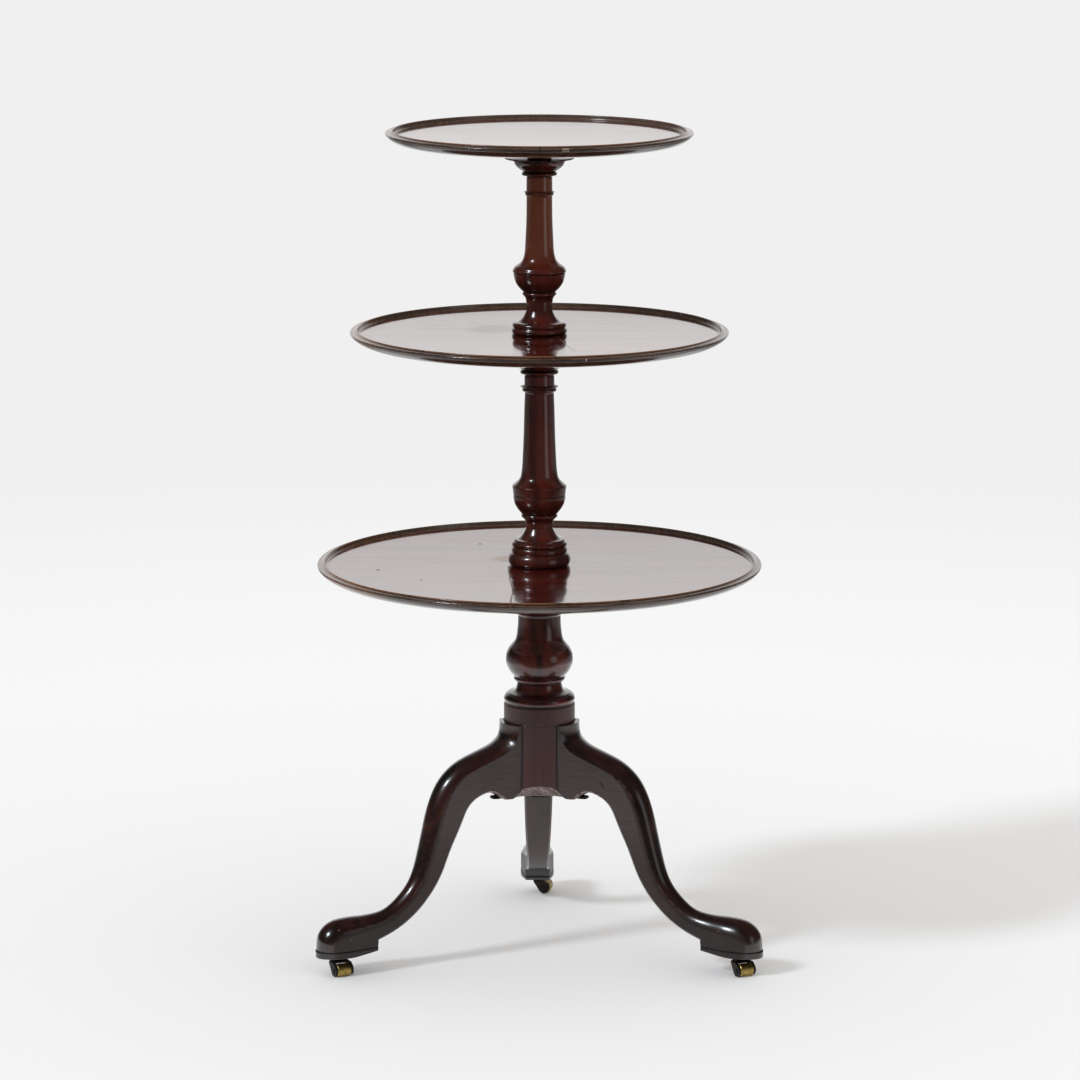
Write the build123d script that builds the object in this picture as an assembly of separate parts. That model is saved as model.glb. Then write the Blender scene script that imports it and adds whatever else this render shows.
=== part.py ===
from build123d import *
import os
from math import cos, radians, sin

os.makedirs("parts", exist_ok=True)

# A three-tier round dumbwaiter: dished trays that turn on a turned column, on three legs with castors.
# Sizes are in millimetres. The origin is on the floor on the column's axis, +Z is up, -Y is the front.

# Height of the bottom tray's rim above the floor, the rise from rim to rim, and the trays' radii
bottom_crest = 528.0
middle_tray_rise = 308.1
top_tray_rise = 260.2
top_tray_radius = 200.4
middle_tray_radius = 247.6
bottom_tray_radius = 292.5

# Tray board: from the rim's crest to the dished floor and to the underside
dish_depth = 6.0
rim_height = 17.0
rim_width = 13.0

# Turned block under each tray
block_height = 42.0
top_block_radius = 33.7
middle_block_radius = 36.6
bottom_block_radius = 39.0
mounting_disc_radius = 60.0
mounting_disc_thickness = 12.5
disc_edge_round = 2.0

# Column
column_foot = 215.0
hub_radius = 47.0
middle_stem_radius = 41.2
upper_stem_radius = 36.3
spigot_radius = 11.0
top_pin_radius = 10.0
spigot_reach = 48.0
top_pin_reach = 42.0
spigot_chamfer = 1.0

# Fits and gaps
running_clearance = 0.05
glue_clearance = 0.05
running_gap = 0.2
end_gap = 0.5
overrun = 20.0

# Legs
leg_azimuths = {"left": -154.0, "right": -26.0, "back": 90.6}
leg_reach = 324.6
leg_top = 313.0
leg_thickness = 55.0
tongue_depth = 17.0
tongue_root_width = 14.0
tongue_tip_width = 20.0
tongue_setback = 7.0
root_chamfer_height = 11.0
root_chamfer_length = 16.0
root_chamfer_depth = 14.0
leg_edge_chamfer = 2.5

# Hub facets between the legs
facet_height = 17.5
facet_depth = 19.0

# Feet: the sole stands a lip proud of the foot above it and rises towards the heel
castor_height = 25.0
sole_thickness = 9.0
sole_edge_round = 1.5
sole_bend_round = 60.0
sole_lip = 0.3
heel_lift = 4.0
heel_rise = 5.0
plate_margin = 1.0
foot_toe_length = 36.6
foot_heel_length = 45.0
pad_width_share = 0.820
heel_width_share = 0.580
underside_normal_share = -0.9

# Iron brace under the hub
brace_thickness = 2.3
brace_disc_radius = 26.0
brace_arm_width = 15.0
brace_arm_reach = 71.0
brace_hub_screw_circle = 20.0
brace_leg_screw_inset = 8.0

# Castors
pivot_inset = 31.6
castor_headings = {"left": -63.0, "right": -63.0, "back": -12.0}
castor_trail = 12.0
roller_radius = 8.5
roller_length = 19.0
roller_chamfer = 0.9
roller_top_gap = 0.8
plate_radius = 13.0
plate_thickness = 1.6
pintle_radius = 3.0
pintle_head_radius = 4.6
pintle_head_height = 1.5
fork_thickness = 3.0
fork_side_gap = 0.3
fork_neck_radius = 5.0
fork_neck_length = 0.8
fork_shoulder_drop = 6.0
fork_arm_radius = 7.6
fork_crown_radius = 5.0
fork_crown_offset = 2.0
fork_top_gap = 0.3
axle_radius = 2.0
axle_head_radius = 3.3
axle_head_height = 0.9

# Screws: head radius, shank radius, length
block_screw_sizes = (4.0, 2.0, 18.0)
brace_screw_sizes = (3.6, 1.8, 16.0)
castor_screw_sizes = (2.4, 1.2, 14.0)
block_screw_count = 4
castor_screw_count = 3
block_screw_circle = 46.0
castor_screw_circle = 9.3
screw_head_share = 0.5
screw_sink = 0.3

# Levels worked out from the driving sizes
middle_crest = bottom_crest + middle_tray_rise
top_crest = middle_crest + top_tray_rise
trays = {
    "top": (top_tray_radius, top_crest, top_block_radius),
    "middle": (middle_tray_radius, middle_crest, middle_block_radius),
    "bottom": (bottom_tray_radius, bottom_crest, bottom_block_radius),
}
sole_bottom = castor_height
sole_top = sole_bottom + sole_thickness
fork_top = sole_bottom - fork_top_gap
fork_width = roller_length + 2 * fork_side_gap + 2 * fork_thickness
bridge_bottom = 2 * roller_radius + roller_top_gap
foot_centre = leg_reach - foot_toe_length
heel_reach = foot_centre - foot_heel_length
pivot_reach = leg_reach - pivot_inset
bottom_bend_reach = pivot_reach - plate_radius - plate_margin
top_bend_reach = pivot_reach + plate_margin
brace_leg_screw_circle = hub_radius + brace_leg_screw_inset
tongue_top = leg_top - tongue_setback

# Outlines of the turned pieces: each point is a share of the piece's greatest radius and of its height
upper_stem_shares = [
    ("line", (0.945, 0.000)),
    ("arc", (1.000, 0.018), (0.958, 0.036)),
    ("line", (0.945, 0.040)),
    ("line", (0.962, 0.044)),
    ("arc", (0.977, 0.055), (0.950, 0.067)),
    ("line", (0.905, 0.072)),
    ("curve", (0.700, 0.085), (0.567, 0.113), (0.482, 0.145)),
    ("line", (0.482, 0.200)),
    ("curve", (0.507, 0.225), (0.560, 0.239)),
    ("line", (0.576, 0.242)),
    ("arc", (0.615, 0.254), (0.580, 0.264)),
    ("line", (0.594, 0.267)),
    ("curve", (0.738, 0.292), (0.873, 0.330), (0.926, 0.365), (0.944, 0.382)),
    ("line", (0.928, 0.385)),
    ("line", (0.948, 0.389)),
    ("arc", (0.970, 0.398), (0.948, 0.408)),
    ("line", (0.930, 0.412)),
    ("curve", (0.873, 0.426), (0.760, 0.439), (0.620, 0.464), (0.556, 0.495), (0.510, 0.581),
     (0.478, 0.703), (0.466, 0.864)),
    ("line", (0.474, 0.874)),
    ("arc", (0.518, 0.883), (0.500, 0.890)),
    ("line", (0.566, 0.896)),
    ("line", (0.470, 0.905)),
    ("line", (0.468, 0.980)),
    ("line", (0.456, 0.994)),
    ("line", (0.435, 0.994)),
    ("line", (0.435, 1.000)),
]
middle_stem_shares = [
    ("line", (0.925, 0.000)),
    ("arc", (1.000, 0.036), (0.915, 0.065)),
    ("line", (0.880, 0.068)),
    ("arc", (0.894, 0.078), (0.878, 0.091)),
    ("line", (0.855, 0.097)),
    ("line", (0.870, 0.103)),
    ("arc", (0.887, 0.113), (0.850, 0.123)),
    ("line", (0.806, 0.129)),
    ("line", (0.800, 0.138)),
    ("curve", (0.640, 0.145), (0.534, 0.164), (0.437, 0.195)),
    ("line", (0.437, 0.221)),
    ("curve", (0.470, 0.237), (0.526, 0.248)),
    ("line", (0.545, 0.250)),
    ("arc", (0.580, 0.259), (0.555, 0.268)),
    ("line", (0.575, 0.271)),
    ("curve", (0.675, 0.291), (0.789, 0.322), (0.826, 0.342), (0.836, 0.365)),
    ("line", (0.822, 0.368)),
    ("line", (0.838, 0.372)),
    ("curve", (0.852, 0.395), (0.871, 0.414)),
    ("line", (0.850, 0.419)),
    ("curve", (0.743, 0.433), (0.634, 0.453), (0.575, 0.486), (0.540, 0.556), (0.508, 0.675),
     (0.485, 0.819), (0.464, 0.901)),
    ("line", (0.474, 0.907)),
    ("arc", (0.550, 0.917), (0.530, 0.925)),
    ("line", (0.611, 0.934)),
    ("line", (0.480, 0.942)),
    ("line", (0.480, 0.982)),
    ("line", (0.466, 0.994)),
    ("line", (0.437, 0.994)),
    ("line", (0.437, 1.000)),
]
base_column_shares = [
    ("line", (1.000, 0.000)),
    ("line", (1.000, 0.384)),
    ("line", (0.994, 0.386)),
    ("line", (1.000, 0.388)),
    ("line", (1.000, 0.474)),
    ("line", (0.968, 0.478)),
    ("line", (0.968, 0.487)),
    ("line", (0.984, 0.490)),
    ("arc", (1.000, 0.506), (0.905, 0.532)),
    ("line", (0.880, 0.536)),
    ("line", (0.775, 0.541)),
    ("curve", (0.677, 0.552), (0.640, 0.568), (0.622, 0.584)),
    ("line", (0.612, 0.589)),
    ("line", (0.680, 0.597)),
    ("arc", (0.722, 0.610), (0.700, 0.622)),
    ("line", (0.728, 0.625)),
    ("curve", (0.803, 0.641), (0.862, 0.657), (0.926, 0.686), (0.942, 0.716), (0.924, 0.744),
     (0.862, 0.771), (0.737, 0.799), (0.664, 0.822), (0.630, 0.852), (0.606, 0.895), (0.600, 0.945)),
    ("line", (0.610, 0.949)),
    ("arc", (0.650, 0.958), (0.616, 0.967)),
    ("line", (0.520, 0.972)),
    ("line", (0.505, 0.994)),
    ("line", (0.460, 0.994)),
    ("line", (0.460, 1.000)),
]
block_shares = [
    ("line", (0.600, 0.000)),
    ("arc", (0.690, 0.060), (0.628, 0.104)),
    ("line", (0.612, 0.110)),
    ("curve", (0.783, 0.195), (0.930, 0.313), (0.990, 0.415)),
    ("line", (1.000, 0.430)),
    ("line", (1.000, 0.461)),
    ("line", (0.900, 0.478)),
    ("line", (0.900, 0.500)),
    ("line", (1.320, 0.514)),
    ("arc", (1.350, 0.538), (1.320, 0.562)),
    ("line", (0.560, 0.590)),
    ("arc", (0.470, 0.640), (0.540, 0.700)),
    ("line", (0.900, 0.730)),
    ("line", (0.900, 1.000)),
]

# The moulded rim: each point is a share of the rim's width in from the edge and of its height down
rim_shares = [
    ("curve", (1.540, 0.975), (1.020, 0.865), (0.460, 0.640), (0.130, 0.412)),
    ("line", (0.155, 0.365)),
    ("arc", (0.000, 0.250), (0.165, 0.150)),
    ("line", (0.215, 0.158)),
    ("arc", (0.400, 0.135), (0.590, 0.080)),
    ("arc", (0.700, 0.000), (0.800, 0.080)),
    ("line", (0.815, 0.170)),
]
rim_underside_share = 2.3
cove_middle_shares = (0.850, 0.300)

# Stations along the leg: out from the hub and up (shares of the leg's length and top), lean below
# level in degrees, depth (share of the top), width and crown (shares of the thickness)
leg_station_shares = [
    (0.025, 1.000, 0, 0.093, 1.000, 0.165),
    (0.027, 0.963, 6, 0.096, 1.000, 0.175),
    (0.050, 0.932, 40, 0.144, 0.985, 0.195),
    (0.101, 0.908, 64, 0.272, 0.920, 0.215),
    (0.191, 0.880, 69, 0.240, 0.850, 0.240),
    (0.281, 0.843, 57, 0.235, 0.800, 0.262),
    (0.353, 0.785, 38, 0.215, 0.760, 0.280),
    (0.399, 0.712, 22, 0.195, 0.730, 0.297),
    (0.442, 0.588, 14, 0.175, 0.695, 0.312),
    (0.478, 0.458, 17, 0.153, 0.650, 0.308),
    (0.518, 0.361, 27, 0.147, 0.595, 0.285),
    (0.572, 0.303, 40, 0.147, 0.545, 0.262),
    (0.627, 0.264, 59, 0.147, 0.530, 0.258),
    (0.688, 0.245, 80, 0.147, 0.590, 0.285),
    (0.774, 0.240, 89, 0.147, 0.710, 0.330),
    (0.857, 0.239, 88, 0.147, pad_width_share, 0.375),
    (0.922, 0.228, 68, 0.150, pad_width_share, 0.390),
    (0.965, 0.201, 50, 0.147, 0.810, 0.390),
    (0.990, 0.158, 32, 0.137, 0.790, 0.385),
    (0.999, 0.096, 6, 0.110, 0.760, 0.375),
]

# The leg's underside: shares of the way from hub to heel, and of the rise from the sole to the hub's foot
cusp_share = 0.078
underside_shares = [
    (0.109, 1.029), (0.170, 1.062), (0.246, 1.045), (0.313, 0.994), (0.378, 0.862), (0.466, 0.653),
    (0.531, 0.477), (0.618, 0.325), (0.725, 0.201), (0.858, 0.107), (0.928, 0.075),
]
heel_height_share = 0.050


def traced(place, steps):
    """Join the edges of an outline whose steps are lines, arcs and curves through placed shares."""
    here = place(steps[0][1])
    edges = []
    for kind, *shares in steps[1:]:
        points = [place(share) for share in shares]
        if kind == "line":
            edges.append(Line(here, points[0]))
        elif kind == "arc":
            edges.append(ThreePointArc(here, *points))
        else:
            edges.append(Spline(here, *points))
        here = points[-1]
    return edges


def closed_face(edges, *corners):
    """Close a run of edges with straight lines through the corners, and fill it."""
    corners = [edges[-1] @ 1, *corners, edges[0] @ 0]
    lines = [Line(start, end) for start, end in zip(corners, corners[1:])]
    return make_face(edges + lines)


def turned(steps, radius, height, foot):
    """Turn an outline about the column's axis, standing on the height foot."""
    edges = traced(lambda share: (share[0] * radius, share[1] * height), steps)
    face = closed_face(edges, (0, height), (0, 0))
    return Pos(0, 0, foot) * revolve(Plane.XZ * face, Axis.Z)


def rod(radius, bottom, top):
    """Make a round bar along the axis between two heights."""
    return Pos(0, 0, (bottom + top) / 2) * Cylinder(radius, top - bottom)


def spigot(radius, bottom, top):
    """Make a round tenon with a chamfered upper end."""
    bar = rod(radius, bottom, top)
    return chamfer(bar.edges().sort_by(Axis.Z)[-1], spigot_chamfer)


def screw(sizes, clearance=0):
    """Make a countersunk screw that points up from its head at the origin."""
    head_radius, shank_radius, length = sizes
    head_radius += clearance
    shank_radius += clearance
    head_height = screw_head_share * (head_radius + shank_radius) / 2
    head = Pos(0, 0, head_height / 2) * Cone(head_radius, shank_radius, head_height)
    return head + rod(shank_radius, 0, length + clearance)


def screw_hole(sizes):
    """Make the hole that takes a screw sunk a little below the face at the origin."""
    sunk = Pos(0, 0, screw_sink) * screw(sizes, glue_clearance)
    return sunk + rod(sizes[0] + glue_clearance, -overrun, screw_sink)


def ring_places(circle, count, first_angle=0):
    """List the places of a ring of equal items."""
    return [Rot(0, 0, first_angle + 360 * turn / count) * Pos(circle, 0, 0) for turn in range(count)]


def tray_levels(name):
    """Give the heights of a tray's floor, underside and block foot."""
    crest = trays[name][1]
    underside = crest - rim_height
    return crest - dish_depth, underside, underside - block_height


def write(shape, name):
    """Write one node's shape to its own file, as separate solids where it holds several."""
    solids = shape.solids()
    node = solids[0] if len(solids) == 1 else Compound(children=list(solids))
    export_step(node, f"parts/{name}.step")


# Places of the blocks' screws about the column, and of a castor's screws under the leg along +X
block_screw_places = ring_places(block_screw_circle, block_screw_count, 45)
castor_screw_places = [
    Pos(pivot_reach, 0, sole_bottom) * place for place in ring_places(castor_screw_circle, castor_screw_count)
]


def bearing(name):
    """Give the radius of the bar that a tray turns on, and how high that bar reaches."""
    floor, underside, foot = tray_levels(name)
    if name == "top":
        return top_pin_radius, foot + top_pin_reach
    return spigot_radius, floor + spigot_reach


def block_screw_foot(name):
    """Give the height of the face that the block's screws start from."""
    return tray_levels(name)[1] - mounting_disc_thickness


def make_block(name):
    """Make the turned block with its bearing bore and its mounting disc."""
    underside, foot = tray_levels(name)[1:]
    block = turned(block_shares, trays[name][2], block_height, foot)
    disc = rod(mounting_disc_radius, block_screw_foot(name), underside)
    disc = fillet(disc.edges().group_by(Axis.Z)[0], disc_edge_round)
    block = block + disc
    bar_radius, bar_top = bearing(name)
    bore_top = min(bar_top + end_gap, underside + overrun)
    block -= rod(bar_radius + running_clearance, foot - overrun, bore_top)
    for place in block_screw_places:
        block -= Pos(0, 0, block_screw_foot(name)) * place * screw_hole(block_screw_sizes)
    return block


def make_block_screws(name):
    """Make the screws that hold a block under its tray."""
    level = Pos(0, 0, block_screw_foot(name) + screw_sink)
    return Compound(children=[level * place * screw(block_screw_sizes) for place in block_screw_places])


def make_tray(name):
    """Make a dished tray with its moulded rim."""
    radius, crest = trays[name][:2]
    floor, underside = tray_levels(name)[:2]

    def place(share):
        return (radius - share[0] * rim_width, crest - share[1] * rim_height)

    floor_edge = (radius - rim_width, floor)
    steps = [("line", (rim_underside_share, 1))] + rim_shares
    edges = traced(place, steps)
    edges.append(ThreePointArc(edges[-1] @ 1, place(cove_middle_shares), floor_edge))
    face = closed_face(edges, (0, floor), (0, underside))
    tray = revolve(Plane.XZ * face, Axis.Z)
    bar_radius, bar_top = bearing(name)
    if bar_top > underside:
        tray -= rod(bar_radius + running_clearance, underside - overrun, floor + overrun)
    for screw_place in block_screw_places:
        tray -= Pos(0, 0, block_screw_foot(name)) * screw_place * screw_hole(block_screw_sizes)
    return tray


def make_stem(below, above, steps, radius):
    """Make a stem that stands on the tray below and carries the tray above."""
    floor = tray_levels(below)[0]
    foot = floor + running_gap
    shoulder = tray_levels(above)[2] - running_gap
    stem = turned(steps, radius, shoulder - foot, foot)
    bar_radius, bar_top = bearing(above)
    stem += spigot(bar_radius, shoulder, bar_top)
    socket_radius = bearing(below)[0] + glue_clearance
    return stem - rod(socket_radius, foot - overrun, bearing(below)[1] + end_gap)


def at_leg(side):
    """Turn a shape from the +X direction to one leg's direction."""
    return Rot(0, 0, leg_azimuths[side])


def tongue(clearance=0):
    """Make the dovetail that joins a leg to the hub, with the leg along +X."""
    root = hub_radius + overrun / 4
    tip = hub_radius - tongue_depth - clearance
    root_half = tongue_root_width / 2 + clearance
    tip_half = tongue_tip_width / 2 + clearance
    corners = [(root, root_half), (tip, tip_half), (tip, -tip_half), (root, -root_half)]
    height = tongue_top + clearance - column_foot
    return Pos(0, 0, column_foot) * extrude(make_face(Polyline(*corners, close=True)), height)


def hub_facet():
    """Make the wedge that planes the hub's lower edge at the +X side."""
    slope = Plane(
        origin=(hub_radius, 0, column_foot + facet_height),
        x_dir=(0, 1, 0),
        z_dir=(facet_height, 0, -facet_depth),
    )
    block = Box(4 * facet_height, 4 * facet_height, facet_height, align=(Align.CENTER, Align.CENTER, Align.MIN))
    return slope * block


def make_base_column():
    """Make the hub and lower shaft with its slots, facets and spigot."""
    shoulder = tray_levels("bottom")[2] - running_gap
    column = turned(base_column_shares, hub_radius, shoulder - column_foot, column_foot)
    bar_radius, bar_top = bearing("bottom")
    column += spigot(bar_radius, shoulder, bar_top)
    azimuths = sorted(leg_azimuths.values())
    for azimuth in azimuths:
        slot = tongue(glue_clearance) + Pos(0, 0, -overrun) * tongue(glue_clearance)
        column -= Rot(0, 0, azimuth) * slot
    for azimuth, following in zip(azimuths, azimuths[1:] + [azimuths[0] + 360]):
        column -= Rot(0, 0, (azimuth + following) / 2) * hub_facet()
    for place in brace_screw_places(brace_hub_screw_circle):
        column -= Pos(0, 0, column_foot - brace_thickness) * place * screw_hole(brace_screw_sizes)
    return column


def brace_screw_places(circle):
    """List the places of one ring of the brace's screws, one under each leg."""
    return [at_leg(side) * Pos(circle, 0, 0) for side in leg_azimuths]


def make_brace():
    """Make the three-armed iron brace under the hub and the legs' roots."""
    outline = Circle(brace_disc_radius)
    arm = Pos(brace_arm_reach / 2, 0, 0) * Rectangle(brace_arm_reach, brace_arm_width)
    arm = fillet(arm.vertices().group_by(Axis.X)[-1], brace_arm_width / 3)
    for side in leg_azimuths:
        outline += at_leg(side) * arm
    brace = Pos(0, 0, column_foot - brace_thickness) * extrude(outline, brace_thickness)
    for circle in (brace_hub_screw_circle, brace_leg_screw_circle):
        for place in brace_screw_places(circle):
            brace -= Pos(0, 0, column_foot - brace_thickness) * place * screw_hole(brace_screw_sizes)
    return brace


def make_brace_screws():
    """Make the brace's six screws."""
    level = Pos(0, 0, column_foot - brace_thickness + screw_sink)
    places = brace_screw_places(brace_hub_screw_circle) + brace_screw_places(brace_leg_screw_circle)
    return Compound(children=[level * place * screw(brace_screw_sizes) for place in places])


def leg_section(station):
    """Make one section across the leg: flat sides and foot under an arched crown."""
    out, up, lean, depth, width, crown = station
    inward = Vector(-cos(radians(lean)), 0, -sin(radians(lean)))
    plane = Plane(
        origin=(out_along_leg(out), 0, up * leg_top),
        x_dir=inward,
        z_dir=Vector(0, 1, 0).cross(inward) * -1,
    )
    half = width * leg_thickness / 2
    rise = crown * leg_thickness
    deep = depth * leg_top
    edges = [
        ThreePointArc((rise, half), (0, 0), (rise, -half)),
        Line((rise, -half), (deep, -half)),
        Line((deep, -half), (deep, half)),
        Line((deep, half), (rise, half)),
    ]
    return plane * make_face(edges)


def out_along_leg(share):
    """Give the distance from the column's axis to a share of the leg's length."""
    return hub_radius + share * (leg_reach - hub_radius)


def underside_point(share):
    """Place a point of the leg's underside in its side view."""
    out, up = share
    return (hub_radius + out * (heel_reach - hub_radius), sole_top + up * (column_foot - sole_top))


def under_leg():
    """Make the prism that hollows the leg's underside and trims its foot to the sole."""
    cusp = underside_point((cusp_share, 1))
    heel = underside_point((1, heel_height_share))
    scoop = Spline(cusp, *[underside_point(share) for share in underside_shares], heel)
    edges = [
        Line((-overrun, column_foot), cusp),
        scoop,
        Line(heel, (heel_reach, sole_top + heel_rise)),
        Line((heel_reach, sole_top + heel_rise), (top_bend_reach, sole_top)),
        Line((top_bend_reach, sole_top), (leg_reach + overrun, sole_top)),
    ]
    face = closed_face(edges, (leg_reach + overrun, -overrun), (-overrun, -overrun))
    return Pos(0, leg_thickness, 0) * extrude(Plane.XZ * face, 2 * leg_thickness)


def root_chamfer():
    """Make the wedge that pares one lower corner of a leg's root beside the hub."""
    side = leg_thickness / 2
    start = (hub_radius**2 - side**2) ** 0.5
    high = Vector(start, side, column_foot + root_chamfer_height)
    far = Vector(start + root_chamfer_length, side, column_foot)
    deep = Vector(start, side - root_chamfer_depth, column_foot)
    outward = (far - high).cross(deep - high)
    if outward.Z > 0:
        outward = outward * -1
    slope = Plane(origin=high, x_dir=far - high, z_dir=outward)
    block = Box(overrun * 2, overrun * 2, overrun, align=(Align.CENTER, Align.CENTER, Align.MIN))
    return slope * block


def make_leg():
    """Make a leg along +X with its tongue, screw holes and pared root."""
    leg = loft([leg_section(station) for station in leg_station_shares])
    leg -= under_leg()
    leg -= rod(hub_radius + glue_clearance, 0, leg_top + overrun)
    scoop = leg.faces().filter_by(GeomType.EXTRUSION).sort_by(SortBy.AREA)[-1]
    leg = chamfer(scoop.edges().filter_by(GeomType.LINE, reverse=True), leg_edge_chamfer)
    leg += tongue()
    leg -= Pos(brace_leg_screw_circle, 0, column_foot - brace_thickness) * screw_hole(brace_screw_sizes)
    for wedge in (root_chamfer(), mirror(root_chamfer(), Plane.XZ)):
        leg -= wedge
    for place in castor_screw_places:
        leg -= place * screw_hole(castor_screw_sizes)
    return leg


def make_sole():
    """Make the flat sole under a leg's pad foot, along +X."""
    half = pad_width_share * leg_thickness / 2 + sole_lip
    heel_half = heel_width_share * leg_thickness / 2 + sole_lip
    toe = EllipticalCenterArc((foot_centre, 0), foot_toe_length, half, -90, arc_size=180)
    flank_middle = (foot_centre - foot_heel_length / 2, (half + heel_half) / 2 + sole_edge_round / 2)
    flank = ThreePointArc((foot_centre, half), flank_middle, (heel_reach, heel_half))
    back = Line((heel_reach, heel_half), (heel_reach, -heel_half))
    far_flank = mirror(flank, Plane.XZ)
    plan = make_face([toe, flank, back, far_flank])
    side_corners = [
        (leg_reach + overrun, sole_bottom), (bottom_bend_reach, sole_bottom),
        (heel_reach, sole_bottom + heel_lift), (heel_reach, sole_top + heel_rise),
        (top_bend_reach, sole_top), (leg_reach + overrun, sole_top),
    ]
    side_view = make_face(Polyline(*side_corners, close=True))
    bend = side_view.vertices().sort_by_distance((bottom_bend_reach, sole_bottom))[0]
    side_view = fillet(bend, sole_bend_round)
    sole = extrude(plan, sole_top + overrun) & extrude(Plane.XZ * side_view, leg_thickness, both=True)
    under = [face for face in sole.faces() if face.normal_at().Z < underside_normal_share]
    rim = [
        edge for face in under for edge in face.edges()
        if edge.geom_type != GeomType.LINE or edge.center().X < heel_reach + plate_margin
    ]
    sole = fillet(rim, sole_edge_round)
    recess = rod(plate_radius + glue_clearance, sole_bottom - overrun, sole_bottom + plate_thickness)
    sole -= Pos(pivot_reach, 0, 0) * recess
    for place in castor_screw_places:
        sole -= place * screw_hole(castor_screw_sizes)
    return sole


def make_castor_plate():
    """Make a castor's plate with the pintle that its fork turns on."""
    plate = rod(plate_radius, sole_bottom, sole_bottom + plate_thickness)
    head_top = bridge_bottom - running_gap
    plate += rod(pintle_radius, head_top, sole_bottom)
    head = rod(pintle_head_radius, head_top - pintle_head_height, head_top)
    plate += fillet(head.edges().sort_by(Axis.Z)[0], pintle_head_height / 2)
    plate = Pos(pivot_reach, 0, 0) * plate
    for place in castor_screw_places:
        plate -= place * screw_hole(castor_screw_sizes)
    return plate


def make_castor_screws():
    """Make the screws that hold a castor's plate."""
    sunk = Pos(0, 0, screw_sink)
    return Compound(children=[place * sunk * screw(castor_screw_sizes) for place in castor_screw_places])


def make_fork():
    """Make a castor's fork about the pintle's axis, with its trail along +X."""
    arm_circle = Pos(castor_trail, roller_radius) * Circle(fork_arm_radius)
    crown_height = fork_top - fork_neck_length - fork_crown_radius
    crown_circle = Pos(fork_crown_offset, crown_height) * Circle(fork_crown_radius)
    side_view = make_hull(arm_circle.edges() + crown_circle.edges())
    fork = extrude(Plane.XZ * side_view, fork_width / 2, both=True)
    half = fork_width / 2
    neck_base = fork_top - fork_neck_length
    shoulder = neck_base - fork_shoulder_drop
    front_corners = [
        (half, 0), (half, shoulder), (fork_neck_radius, neck_base), (fork_neck_radius, fork_top),
        (-fork_neck_radius, fork_top), (-fork_neck_radius, neck_base), (-half, shoulder), (-half, 0),
    ]
    front_view = make_face(Polyline(*front_corners, close=True))
    fork = fork & extrude(Plane.YZ * front_view, castor_trail + overrun, both=True)
    fork += rod(fork_neck_radius, bridge_bottom, fork_top)
    inner_width = roller_length + 2 * fork_side_gap
    reach = castor_trail + overrun
    fork -= Pos(0, 0, bridge_bottom / 2) * Box(2 * reach, inner_width, bridge_bottom)
    fork -= rod(pintle_radius + running_clearance, 0, fork_top + overrun)
    return fork - cross_bar(axle_radius + glue_clearance, fork_width + overrun)


def cross_bar(radius, length):
    """Make a round bar along the roller's axis."""
    return Pos(castor_trail, 0, roller_radius) * Rot(90, 0, 0) * Cylinder(radius, length)


def make_axle():
    """Make a castor's axle with its riveted ends."""
    axle = cross_bar(axle_radius, fork_width)
    for side in (-1, 1):
        middle = side * (fork_width + axle_head_height) / 2
        head = Pos(0, middle, 0) * cross_bar(axle_head_radius, axle_head_height)
        outer = head.edges().filter_by(GeomType.CIRCLE).sort_by(Axis.Y)[-1 if side > 0 else 0]
        axle += fillet(outer, axle_head_height / 2)
    return axle


def make_roller():
    """Make a castor's barrel roller with its bore."""
    roller = cross_bar(roller_radius, roller_length)
    roller = chamfer(roller.edges().filter_by(GeomType.CIRCLE), roller_chamfer)
    return roller - cross_bar(axle_radius + running_clearance, roller_length + overrun)


write(make_base_column(), "base_column")
write(make_stem("bottom", "middle", middle_stem_shares, middle_stem_radius), "middle_stem")
write(make_stem("middle", "top", upper_stem_shares, upper_stem_radius), "upper_stem")
for tray_name in trays:
    write(make_tray(tray_name), f"{tray_name}_tray")
    write(make_block(tray_name), f"{tray_name}_tray_block")
    write(make_block_screws(tray_name), f"{tray_name}_tray_block_screws")

write(make_brace(), "tripod_brace")
write(make_brace_screws(), "brace_screws")
foot_pieces = {
    "leg": make_leg(),
    "foot_sole": make_sole(),
    "castor_plate": make_castor_plate(),
    "castor_screws": make_castor_screws(),
}
castor_pieces = {
    "castor_fork": make_fork(),
    "castor_axle": make_axle(),
    "castor_roller": make_roller(),
}
for side, azimuth in leg_azimuths.items():
    for name, piece in foot_pieces.items():
        write(at_leg(side) * piece, f"{name}_{side}")
    swivel = Rot(0, 0, castor_headings[side] - azimuth)
    for name, piece in castor_pieces.items():
        write(at_leg(side) * Pos(pivot_reach, 0, 0) * swivel * piece, f"{name}_{side}")
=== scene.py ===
from math import atan2, cos, hypot, pi, radians, sin

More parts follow.
